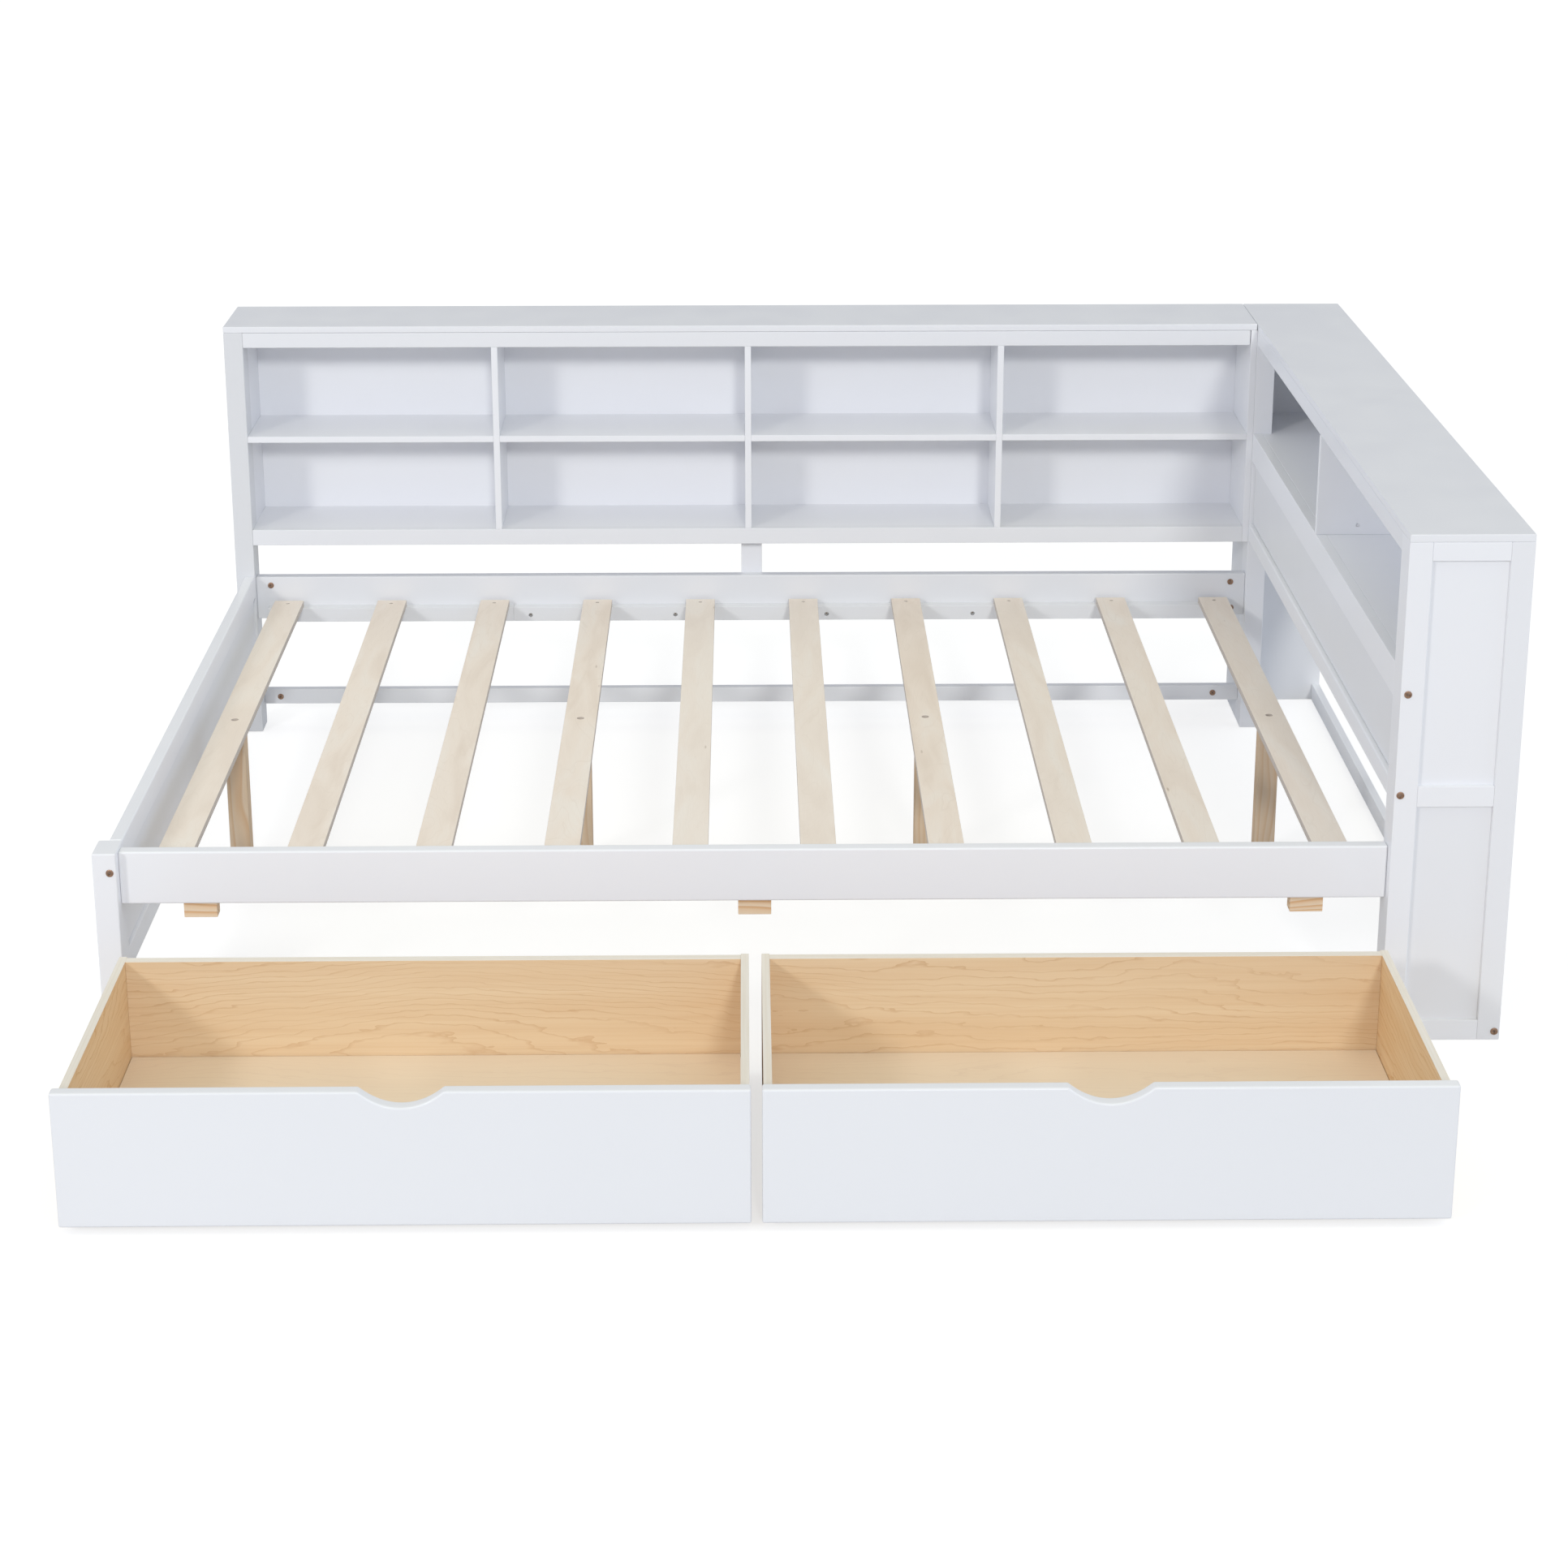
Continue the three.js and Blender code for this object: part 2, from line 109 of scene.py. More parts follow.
# Heads, by radius, width of the socket, height, and depth of the socket.
BOLT_HEAD = (0.0060, 0.0046, 0.0017, 0.0009)
LEDGE_SCREW_HEAD = (0.0036, 0.0026, 0.0012, 0.0006)
NAIL_HEAD = (0.0022, 0.0012, 0.0004, 0.0004)
SUNK_HEAD_HEIGHT = 0.0012
SUNK_SOCKET_DEPTH = 0.0006
SUNK_SOCKET_SHARE = 0.7             # width of the socket, as a share of the head's radius

# Where bolts show: the board, the end of it that they are near, how far in from it, and how high up.
BOLTS = (
    ("back_rail", "low", 0.028, 0.298),
    ("back_rail", "high", 0.029, 0.298),
    ("back_rail", "high", 0.026, 0.245),
    ("back_stretcher", "low", 0.032, 0.059),
    ("back_stretcher", "high", 0.050, 0.059),
    ("headboard_front_end", "low", 0.011, 0.566),
    ("headboard_front_end", "low", 0.009, 0.405),
    ("headboard_front_end", "high", 0.0085, 0.014),
    ("foot_front_post", "high", 0.010, 0.289),
)

# The nails of the back panel: a row along each long board, and a column up each divider.
NAILS_PER_ROW = 16
NAIL_ROW_INSET = 0.03               # from the panel's ends
BOTTOM_ROW = 0.025                  # above the panel's lower edge
MIDDLE_ROW = 0.594                  # above the floor
TOP_ROW = 0.012                     # below the panel's upper edge
NAIL_COLUMN_SPACING = 0.4765
NAIL_COLUMN = (0.44, 0.52, 0.66, 0.74)      # above the floor

CAD_SCOOP = (0.124, 0.015)      # width and depth of the finger grip in the CAD model
SCOOP = (0.116, 0.024)          # and here, where it follows the photo more closely

# How far edges are rounded.
THIN_EDGE = 0.0004      # thin panels and the long bookcase's bottom shelf
BOTTOM_EDGE = 0.0003    # the drawers' bottoms,
LAMINATE_EDGE = 0.0006  # and their other boards
SHELF_EDGE = 0.0007     # the headboard's shelf
TIGHT_EDGE = 0.0008     # bookcase sides, the corner panel and the drawer stops
LIGHT_EDGE = 0.0009     # slats, dividers and the long bookcase's middle shelf
STILE_EDGE = 0.0010     # the headboard's framed end, post and outer boards, and the back ledge
FACE_EDGE = 0.0012      # tops, face rails, centre legs, the bookcase support and the headboard's back end
POST_EDGE = 0.0015      # the back left post, the stretcher, the front ledge and the foot's bottom rail
SOFT_EDGE = 0.0022      # the foot's front post and the back rail
ROUND_EDGE = 0.003      # rails and fronts that hands touch,
ROUND_STEPS = 3         # in this many steps

EVEN_COAT = 0.07        # how much the coat's grey differs from board to board
# Painted shade: these boards have the same white paint as the rest, drawn greyer to stand in for the shade
# on them.
PAINTED_SHADE_TOPS = 0.27        # painted shade: the two top boards are drawn slightly greyer than the same white elsewhere
PAINTED_SHADE_FRONTS = 0.36      # painted shade, likewise, on the drawer fronts,
PAINTED_SHADE_RAILS = 0.28       # the face rails, and the outer stile and lower panel of the headboard's end,
PAINTED_SHADE_BACK = 0.45        # the rails and the inner boards at the back,
PAINTED_SHADE_POST = 0.85        # and, darkest, the tall post in the back left corner
PAINTED_LIGHT_BACKS = 0.28       # painted light and shade: the drawers' backs are drawn paler than their shaded sides,
PAINTED_LIGHT_BOTTOMS = 1.0      # and their bottoms, lit from above, are drawn the palest
PAINTED_SHADE_LEGS = (0.60, 0.90)    # painted shade: the centre legs, in the shade under the bed, are drawn darker, each by its own random amount

PLY_PAIR = 0.002        # thickness of two plies of the slats, one dark and one pale on the edge
X, Y, Z = 0, 1, 2       # the axes, to say which way a board's grain runs
GRAIN = "grain"         # vertex attribute: along the grain, across it, and through the board
TONE = "tone"           # object property: how grey a coat is (painted shade, plus random unevenness), how dark pine is (painted shade), how pale maple is (painted light) or how pale birch is (random)

random.seed(7)


# ---------------------------------------------------------------- meshes

def new_object(name, bm):
    mesh = bpy.data.meshes.new(name)
    bm.to_mesh(mesh)
    bm.free()
    piece = bpy.data.objects.new(name, mesh)
    bpy.context.scene.collection.objects.link(piece)
    return piece


def block(low, high, edge, segments=2):
    """A bmesh box between two corners, with rounded edges."""
    bm = bmesh.new()
    bmesh.ops.create_cube(bm, size=1)
    for vert in bm.verts:
        vert.co = Vector([low[i] + (vert.co[i] + 0.5) * (high[i] - low[i]) for i in range(3)])
    bmesh.ops.bevel(bm, geom=bm.edges[:], offset=edge, segments=segments, profile=0.5,
                    affect="EDGES", clamp_overlap=True)
    return bm


def eased_copy(node, edge, segments=2, reshape=None):
    """A bmesh of a CAD node's shape, its flat faces made whole and its sharp edges rounded.

    The function reshape, if there is one, moves the vertices of the whole faces.
    """
    flat, crease = math.radians(1), math.radians(20)
    bm = bmesh.new()
    bm.from_mesh(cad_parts[node].data)
    bmesh.ops.remove_doubles(bm, verts=bm.verts[:], dist=1e-6)
    bmesh.ops.dissolve_limit(bm, angle_limit=flat, verts=bm.verts[:], edges=bm.edges[:])
    if reshape:
        reshape(bm)
        bm.normal_update()
    sharp = [e for e in bm.edges if len(e.link_faces) == 2 and e.calc_face_angle() > crease]
    bmesh.ops.bevel(bm, geom=sharp, offset=edge, segments=segments, profile=0.5,
                    affect="EDGES", clamp_overlap=True)
    return bm


def drill(piece, holes):
    """Cuts round holes. Each is (point on the surface, direction into the board, radius, depth)."""
    above = 0.002       # the cutter stands this far out of the surface
    bm = bmesh.new()
    for point, inward, radius, depth in holes:
        inward = Vector(inward)
        turn = inward.to_track_quat("Z", "Y").to_matrix().to_4x4()
        middle = Vector(point) + inward * (depth - above) / 2
        bmesh.ops.create_cone(bm, cap_ends=True, segments=24, radius1=radius, radius2=radius,
                              depth=depth + above, matrix=Matrix.Translation(middle) @ turn)
    cutter = new_object(piece.name + "_cutter", bm)
    cut = piece.modifiers.new("holes", "BOOLEAN")
    cut.object = cutter
    cut.solver = "EXACT"
    depsgraph = bpy.context.evaluated_depsgraph_get()
    mesh = bpy.data.meshes.new_from_object(piece.evaluated_get(depsgraph))
    piece.modifiers.clear()
    piece.data = mesh
    bpy.data.objects.remove(cutter)


def set_grain(piece, along):
    """Stores where each vertex lies along the grain, across the board's face, and through its thickness.

    A random start along and across the grain gives each board its own figure.
    """
    far = 9             # metres of figure to start from
    spans = [max(c[i] for c in piece.bound_box) - min(c[i] for c in piece.bound_box) for i in range(3)]
    others = sorted((axis for axis in range(3) if axis != along), key=lambda axis: -spans[axis])
    start = Vector((random.uniform(0, far), random.uniform(0, far), 0))
    thin_low = min(c[others[1]] for c in piece.bound_box)
    attribute = piece.data.attributes.new(GRAIN, "FLOAT_VECTOR", "POINT")
    for vert, value in zip(piece.data.vertices, attribute.data):
        co = vert.co
        value.vector = (co[along] + start.x, co[others[0]] + start.y, co[others[1]] - thin_low)


def dress(piece, body, material, nodes=(), along=X, sharp_angle=50, tone=None):
    """Gives a piece its material, its smooth shading and its body, and hides the CAD nodes that it stands
    for.
    """
    mesh = piece.data
    if not mesh.materials:
        mesh.materials.append(material)
    mesh.polygons.foreach_set("use_smooth", [True] * len(mesh.polygons))
    mesh.set_sharp_from_angle(angle=math.radians(sharp_angle))
    set_grain(piece, along)
    piece[TONE] = random.random() if tone is None else tone
    weighted = piece.modifiers.new("even_faces", "WEIGHTED_NORMAL")
    weighted.keep_sharp = True
    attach(piece, body)
    if nodes:
        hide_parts(*nodes)
    return piece


# ---------------------------------------------------------------- materials

class Nodes:
    """A node tree of a new material or of the world, with short calls for the nodes used here."""

    def __init__(self, name=None, world=None, **settings):
        if world:
            self.tree = world.node_tree
            self.tree.nodes.clear()
            return
        self.material = bpy.data.materials.new(name)
        self.material.use_nodes = True
        self.tree = self.material.node_tree
        self.shader = self.tree.nodes["Principled BSDF"]
        for key, value in settings.items():
            self.shader.inputs[key.replace("_", " ")].default_value = value

    def feed(self, socket, value):
        if isinstance(value, bpy.types.NodeSocket):
            self.tree.links.new(value, socket)
        else:
            socket.default_value = value

    def add(self, kind, inputs, **settings):
        node = self.tree.nodes.new("ShaderNode" + kind)
        for key, value in settings.items():
            setattr(node, key, value)
        for key, value in inputs.items():
            self.feed(node.inputs[key], value)
        return node

    def grain(self, stretch=(1, 1, 1)):
        source = self.add("Attribute", {}, attribute_name=GRAIN).outputs["Vector"]
        return self.vector("MULTIPLY", source, stretch)

    def tone(self):
        return self.add("Attribute", {}, attribute_name=TONE, attribute_type="OBJECT").outputs["Fac"]

    def vector(self, operation, a, b):
        return self.add("VectorMath", {0: a, 1: b}, operation=operation).outputs["Vector"]

    def math(self, operation, a, b=0.0):
        return self.add("Math", {0: a, 1: b}, operation=operation).outputs["Value"]

    def noise(self, vector, scale=1.0, detail=2.0, roughness=0.5, distortion=0.0):
        inputs = {"Vector": vector, "Scale": scale, "Detail": detail, "Roughness": roughness,
                  "Distortion": distortion}
        return self.add("TexNoise", inputs).outputs["Fac"]

    def split(self, vector):
        return self.add("SeparateXYZ", {"Vector": vector}).outputs

    def join(self, x, y, z):
        return self.add("CombineXYZ", {"X": x, "Y": y, "Z": z}).outputs["Vector"]

    def spread(self, value, low, high, new_low=0.0, new_high=1.0):
        inputs = {"Value": value, "From Min": low, "From Max": high, "To Min": new_low, "To Max": new_high}
        return self.add("MapRange", inputs).outputs["Result"]

    def ramp(self, value, stops):
        node = self.add("ValToRGB", {"Fac": value})
        ramp = node.color_ramp
        while len(ramp.elements) < len(stops):
            ramp.elements.new(0.5)
        for element, (place, colour) in zip(ramp.elements, stops):
            element.position = place
            element.color = (*colour, 1)
        return node.outputs["Color"]

    def mix(self, share, a, b):
        node = self.add("Mix", {}, data_type="RGBA")
        self.feed(node.inputs[0], share)
        for socket, value in ((node.inputs[6], a), (node.inputs[7], b)):
            self.feed(socket, (*value, 1) if isinstance(value, tuple) else value)
        return node.outputs[2]

    def finish(self, colour, roughness, height=None, relief=0.0002, strength=0.3):
        self.feed(self.shader.inputs["Base Color"], colour)
        self.feed(self.shader.inputs["Roughness"], roughness)
        if height is not None:
            bump = self.add("Bump", {"Height": height, "Strength": strength, "Distance": relief})
            self.tree.links.new(bump.outputs["Normal"], self.shader.inputs["Normal"])
        return self.material


def growth_lines(g, rings, wander, jag):
    """Growth rings cut lengthwise: straight lines that a slow wander of the pith opens into long ovals.

    The finer jag gives the ovals their flame-like tips.
    """
    across = g.split(g.grain())[1]
    slow = g.noise(g.grain((1.9, 7.5, 0)), detail=1.0, roughness=0.3)
    quick = g.noise(g.grain((17, 60, 0)), detail=2.5)
    count = g.math("MULTIPLY", across, rings)
    count = g.math("ADD", count, g.math("MULTIPLY", slow, wander))
    count = g.math("ADD", count, g.math("MULTIPLY", quick, jag))
    return g.math("FRACT", count)


def white_lacquer():
    """Sprayed lacquer with a trace of the wood's fibre and fine orange peel. Tone is how grey it is: mostly
    painted shade, with a small random part on most boards.
    """
    g = Nodes("white_lacquer", Coat_Weight=0.25, Coat_Roughness=0.18, Specular_IOR_Level=0.45)
    place = g.add("TexCoord", {}).outputs["Object"]
    cloud = g.noise(place, scale=2.6, detail=3.0)
    speck = g.noise(place, scale=90.0, detail=2.0)
    fibre = g.noise(g.grain((9, 260, 260)), detail=3.0, roughness=0.6)
    colour = g.mix(g.spread(cloud, 0.3, 0.7), (0.872, 0.886, 0.918), (0.887, 0.899, 0.929))
    colour = g.mix(g.spread(speck, 0.62, 0.8, 0.0, 0.10), colour, (0.80, 0.81, 0.84))
    # Painted shade: tone greys the white towards a shaded grey.
    colour = g.mix(g.tone(), colour, (0.702, 0.716, 0.734))
    roughness = g.spread(g.noise(place, scale=14.0, detail=3.0), 0.25, 0.75, 0.34, 0.46)
    peel = g.noise(place, scale=420.0, detail=1.0)
    height = g.math("ADD", g.math("MULTIPLY", fibre, 0.6), g.math("MULTIPLY", peel, 0.4))
    return g.finish(colour, roughness, height, relief=0.00018, strength=0.22)


def birch_ply():
    """Bare birch plywood: a soft figure, faint arcs, small dark flecks, and plies along the edges.

    Tone is how pale it is.
    """
    g = Nodes("birch_ply", Specular_IOR_Level=0.35)
    figure = g.noise(g.grain((3.2, 17, 17)), detail=3.0, distortion=1.1)
    arcs = g.noise(g.grain((2.0, 9.0, 9.0)), detail=2.0, distortion=1.8)
    fibre = g.noise(g.grain((26, 900, 900)), detail=3.0, roughness=0.65)
    colour = g.ramp(figure, [(0.25, (0.800, 0.660, 0.530)), (0.5, (0.895, 0.770, 0.645)),
                             (0.72, (0.915, 0.835, 0.735))])
    rings = g.math("FRACT", g.math("MULTIPLY", arcs, 11.0))
    line = g.spread(rings, 0.86, 1.0, 0.0, 0.30)
    colour = g.mix(line, colour, (0.740, 0.610, 0.480))
    colour = g.mix(g.spread(g.tone(), 0.0, 1.0, 0.0, 0.45), colour, (0.910, 0.835, 0.745))
    colour = g.mix(g.spread(fibre, 0.3, 0.8, 0.0, 0.22), colour, (0.720, 0.610, 0.500))
    cells = g.add("TexVoronoi", {"Vector": g.grain((9, 40, 40)), "Scale": 1.0})
    chosen = g.math("GREATER_THAN", g.split(cells.outputs["Color"])[0], 0.78)
    fleck = g.math("MULTIPLY", g.spread(cells.outputs["Distance"], 0.10, 0.03, 0.0, 0.6), chosen)
    colour = g.mix(fleck, colour, (0.330, 0.215, 0.120))

    # The plies show on every side but the top and the underside.
    normal = g.split(g.add("TexCoord", {}).outputs["Normal"])
    on_edge = g.math("LESS_THAN", g.math("ABSOLUTE", normal[2]), 0.5)
    through = g.split(g.grain())[2]
    waves = 2 * math.pi / PLY_PAIR
    ply = g.math("GREATER_THAN", g.math("SINE", g.math("MULTIPLY", through, waves)), -0.1)
    edge = g.mix(ply, (0.440, 0.370, 0.310), (0.640, 0.560, 0.480))
    colour = g.mix(on_edge, colour, edge)
    roughness = g.spread(figure, 0.2, 0.8, 0.55, 0.68)
    return g.finish(colour, roughness, fibre, relief=0.0003, strength=0.35)


def raw_pine():
    """Sawn pine with straight rings. Tone is how much painted shade darkens it."""
    g = Nodes("raw_pine", Specular_IOR_Level=0.3)
    sway = g.noise(g.grain((2.4, 14, 14)), detail=2.0)
    across, deep = g.split(g.grain())[1:3]
    rings = g.math("ADD", g.math("MULTIPLY", across, 95.0), g.math("MULTIPLY", deep, 70.0))
    rings = g.math("FRACT", g.math("ADD", rings, g.math("MULTIPLY", sway, 7.0)))
    colour = g.ramp(rings, [(0.0, (0.890, 0.700, 0.480)), (0.50, (0.870, 0.600, 0.350)),
                            (0.84, (0.700, 0.350, 0.130)), (1.0, (0.880, 0.680, 0.450))])
    fibre = g.noise(g.grain((30, 1100, 1100)), detail=3.0, roughness=0.65)
    colour = g.mix(g.spread(fibre, 0.3, 0.8, 0.0, 0.30), colour, (0.700, 0.500, 0.320))
    # Painted shade: tone, in blotches, darkens the pine towards brown.
    patch = g.noise(g.grain((6, 40, 40)), detail=2.0)
    shade = g.math("MULTIPLY", g.tone(), g.spread(patch, 0.3, 0.7, 0.65, 0.95))
    colour = g.mix(shade, colour, (0.500, 0.370, 0.250))
    return g.finish(colour, g.spread(fibre, 0.2, 0.8, 0.62, 0.78), fibre, relief=0.0004, strength=0.5)


def maple_laminate():
    """Printed maple: fine growth lines come and go over warm bands and streaks. Tone is how pale it is,
    which is painted light on the drawers' backs and bottoms.
    """
    g = Nodes("maple_laminate", Specular_IOR_Level=0.4)
    line = g.spread(growth_lines(g, rings=66.0, wander=14.0, jag=1.5), 0.80, 0.98)
    bands = g.noise(g.grain((1.1, 34, 34)), detail=2.0)
    streak = g.noise(g.grain((3.0, 170, 170)), detail=2.0)
    fibre = g.noise(g.grain((14, 620, 620)), detail=3.0, roughness=0.6)
    colour = g.mix(g.spread(bands, 0.3, 0.7), (0.668, 0.408, 0.176), (0.740, 0.502, 0.256))
    colour = g.mix(g.spread(streak, 0.45, 0.75, 0.0, 0.60), colour, (0.610, 0.340, 0.125))
    fading = g.noise(g.grain((2.6, 16, 16)), detail=2.0)
    strength = g.math("MULTIPLY", line, g.spread(fading, 0.32, 0.60, 0.35, 0.95))
    colour = g.mix(strength, colour, (0.525, 0.255, 0.070))
    colour = g.mix(g.spread(fibre, 0.35, 0.8, 0.0, 0.25), colour, (0.760, 0.560, 0.340))
    # Painted light: tone pales the maple on the backs and bottoms of the drawers.
    colour = g.mix(g.math("MULTIPLY", g.tone(), 0.72), colour, (0.920, 0.790, 0.610))
    return g.finish(colour, g.spread(fibre, 0.2, 0.8, 0.36, 0.5), fibre, relief=0.0001, strength=0.15)


def edge_band():
    """The pale strip glued over a laminate board's upper edge."""
    g = Nodes("edge_band", Specular_IOR_Level=0.4)
    streak = g.noise(g.grain((5, 300, 300)), detail=3.0)
    colour = g.mix(g.spread(streak, 0.3, 0.75), (0.820, 0.765, 0.670), (0.760, 0.680, 0.550))
    return g.finish(colour, g.spread(streak, 0.2, 0.8, 0.4, 0.55), streak, relief=0.0001, strength=0.2)


def metal(name, tint, dark, roughness):
    """Brushed metal with darker blotches."""
    g = Nodes(name, Metallic=1.0)
    place = g.add("TexCoord", {}).outputs["Object"]
    blotch = g.noise(place, scale=300.0, detail=3.0)
    brushed = g.noise(g.vector("MULTIPLY", place, (900, 900, 2500)), detail=2.0)
    colour = g.mix(g.spread(blotch, 0.35, 0.7), tint, dark)
    return g.finish(colour, g.spread(blotch, 0.2, 0.8, roughness, roughness + 0.18), brushed,
                    relief=0.0001, strength=0.25)


def moulded_nylon():
    """Black nylon, scuffed grey in places."""
    g = Nodes("dark_nylon", Specular_IOR_Level=0.45)
    place = g.add("TexCoord", {}).outputs["Object"]
    speck = g.noise(place, scale=700.0, detail=3.0)
    scuff = g.noise(place, scale=120.0, detail=4.0, roughness=0.7)
    colour = g.mix(g.spread(scuff, 0.5, 0.8), (0.028, 0.028, 0.031), (0.075, 0.073, 0.070))
    return g.finish(colour, g.spread(scuff, 0.3, 0.7, 0.38, 0.62), speck, relief=0.0002, strength=0.3)


LACQUER = white_lacquer()
BIRCH = birch_ply()
PINE = raw_pine()
MAPLE = maple_laminate()
BAND = edge_band()
BRONZE = metal("bronzed_steel", (0.42, 0.25, 0.16), (0.20, 0.11, 0.07), 0.28)
ZINC = metal("zinc_plated_steel", (0.62, 0.62, 0.60), (0.42, 0.41, 0.39), 0.30)
# Painted shade: the socket floors get a darker metal than the heads, standing in for the shade down in the
# socket.
SOCKET_SHADE = metal("socket_floor_painted_shade", (0.30, 0.20, 0.15), (0.10, 0.07, 0.05), 0.4)
NYLON = moulded_nylon()


# ---------------------------------------------------------------- boards

def white_board(name, low, high, nodes, along=X, edge=TIGHT_EDGE, segments=2, holes=(), grey=0.0):
    piece = new_object(name, block(low, high, edge, segments))
    if holes:
        drill(piece, holes)
    # grey is painted shade; the random part is the coat's own unevenness from board to board.
    tone = grey + random.uniform(0, EVEN_COAT)
    return dress(piece, "bed", LACQUER, nodes, along, tone=tone)


def white_node(node, along, edge=TIGHT_EDGE, holes=(), grey=0.0):
    """A single board, in the exact shape of its CAD node."""
    piece = new_object(node + "_board", eased_copy(node, edge))
    if holes:
        drill(piece, holes)
    # grey is painted shade; the random part is the coat's own unevenness from board to board.
    tone = grey + random.uniform(0, EVEN_COAT)
    return dress(piece, "bed", LACQUER, [node], along, tone=tone)


def build_rails():
    low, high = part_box("front_rail")
    split = low.y + RAIL_THICKNESS
    white_board("front_rail_board", low, (high.x, split, high.z), ["front_rail"],
                edge=ROUND_EDGE, segments=ROUND_STEPS)
    white_board("front_ledge", (low.x + FRONT_LEDGE_SHORT, split, low.z),
                (high.x - FRONT_LEDGE_SHORT, high.y, low.z + LEDGE_HEIGHT), ["front_rail"], edge=POST_EDGE)

    low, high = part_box("back_rail")
    split = high.y - RAIL_THICKNESS
    white_board("back_rail_board", (low.x, split, low.z), high, ["back_rail"], edge=SOFT_EDGE,
                grey=PAINTED_SHADE_BACK)
    foot_short, head_short = BACK_LEDGE_SHORT
    joint = low.x + BACK_LEDGE_JOINT
    lengths = ((low.x + foot_short, joint), (joint, high.x - head_short))
    screws = [low.x + along for along in BACK_LEDGE_SCREWS]
    for number, (x0, x1) in enumerate(lengths, 1):
        holes = [((x, low.y, low.z + LEDGE_SCREW_HEIGHT), (0, 1, 0), *LEDGE_HOLE)
                 for x in screws if x0 < x < x1]
        white_board(f"back_ledge_{number}", (x0, low.y, low.z), (x1, split, low.z + LEDGE_HEIGHT),
                    ["back_rail"], edge=STILE_EDGE, holes=holes, grey=PAINTED_SHADE_BACK)


def build_foot_end():
    white_node("foot_front_post", Z, SOFT_EDGE)
    white_node("back_left_post", Z, POST_EDGE, grey=PAINTED_SHADE_POST)
    nodes = ["foot_board"]
    low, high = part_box("foot_board")
    top_rail = high.z - FOOT_TOP_RAIL
    bottom_rail = low.z + FOOT_BOTTOM_RAIL
    panel = high.x - FOOT_RECESS
    white_board("foot_top_rail", (low.x, low.y, top_rail), high, nodes, along=Y,
                edge=ROUND_EDGE, segments=ROUND_STEPS)
    white_board("foot_bottom_rail", low, (high.x, high.y, bottom_rail), nodes, along=Y, edge=POST_EDGE)
    white_board("foot_panel", (panel - PANEL_THICKNESS, low.y + PANEL_FRONT_GAP, bottom_rail + SILL_GAP),
                (panel, high.y - PANEL_GAP, top_rail + TONGUE), nodes, along=Y, edge=THIN_EDGE)


def build_slats_and_legs():
    """Returns the heads of the screws in the slats, each as (point, outward, radius)."""
    down = Vector((0, 0, -1))
    heads = []
    leg_number = 0
    for number in range(1, SLATS + 1):
        node = f"slat_{number}"
        low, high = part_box(node)
        middle = (low + high) / 2
        carries_leg = number % SLATS_PER_LEG == 1
        places = [(y, SLAT_HOLE, SLAT_HEAD) for y in (low.y + SLAT_SCREW_INSET, high.y - SLAT_SCREW_INSET)]
        if carries_leg:
            places.append((middle.y, LEG_HOLE, LEG_HEAD))
        piece = new_object(node + "_board", block(low, high, LIGHT_EDGE))
        drill(piece, [((middle.x, y, high.z), down, *hole) for y, hole, head in places])
        dress(piece, "bed", BIRCH, [node], Y)
        for y, (radius, depth), head in places:
            heads.append((Vector((middle.x, y, high.z)) + down * (depth - HEAD_CLEARANCE), -down, head))
        if carries_leg:
            leg_number += 1
            leg = f"centre_leg_{leg_number}"
            post = new_object(leg + "_post", block(*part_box(leg), FACE_EDGE))
            # The leg's darker tone is painted shade.
            dress(post, "bed", PINE, [leg], Z, tone=random.uniform(*PAINTED_SHADE_LEGS))
    return heads


def build_drawer_stops():
    for number in range(1, DRAWER_STOPS + 1):
        node = f"drawer_stop_{number}"
        stop = new_object(node + "_block", block(*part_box(node), TIGHT_EDGE))
        dress(stop, "bed", PINE, [node], X, tone=0.0)


def build_back_supports():
    white_node("back_stretcher", X, POST_EDGE, grey=PAINTED_SHADE_BACK)
    white_node("bookcase_support", Z, FACE_EDGE)


def build_back_bookcase():
    low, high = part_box("bookcase_top_board")
    left_low, left_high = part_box("bookcase_left_side")
    right_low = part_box("bookcase_right_side")[0]
    under_top = high.z - TOP_THICKNESS
    white_board("bookcase_top", (low.x, low.y, under_top), (high.x - TOP_JOINT, high.y, high.z),
                ["bookcase_top_board"], edge=FACE_EDGE, grey=PAINTED_SHADE_TOPS)
    white_board("bookcase_apron", (left_high.x, low.y + APRON_RECESS, low.z),
                (right_low.x - APRON_GAP, low.y + FACE_RAIL, under_top - SEAM),
                ["bookcase_top_board"], edge=FACE_EDGE, grey=PAINTED_SHADE_RAILS)

    nodes = ["bookcase_bottom_shelf"]
    low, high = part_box("bookcase_bottom_shelf")
    split = low.y + FACE_RAIL
    white_board("bookcase_bottom_rail", low, (high.x, split, high.z), nodes, edge=FACE_EDGE, grey=PAINTED_SHADE_RAILS)
    white_board("bookcase_bottom_board", (low.x, split, high.z - TOP_THICKNESS),
                (high.x, high.y, high.z - SEAM), nodes, edge=THIN_EDGE)

    back, heights = LEFT_SIDE_PINS
    holes = [((left_high.x, left_low.y + back, z), (-1, 0, 0), PIN_HOLE, PIN_DEPTH) for z in heights]
    white_node("bookcase_left_side", Z, holes=holes)
    back, heights = RIGHT_SIDE_PINS
    holes = [((right_low.x, right_low.y + back, z), (1, 0, 0), PIN_HOLE, PIN_DEPTH) for z in heights]
    white_node("bookcase_right_side", Z, holes=holes)
    white_node("bookcase_back_panel", X, THIN_EDGE)
    white_node("bookcase_middle_shelf", X, LIGHT_EDGE)
    for number in range(1, DIVIDERS + 1):
        white_node(f"bookcase_divider_{number}", Z, LIGHT_EDGE)


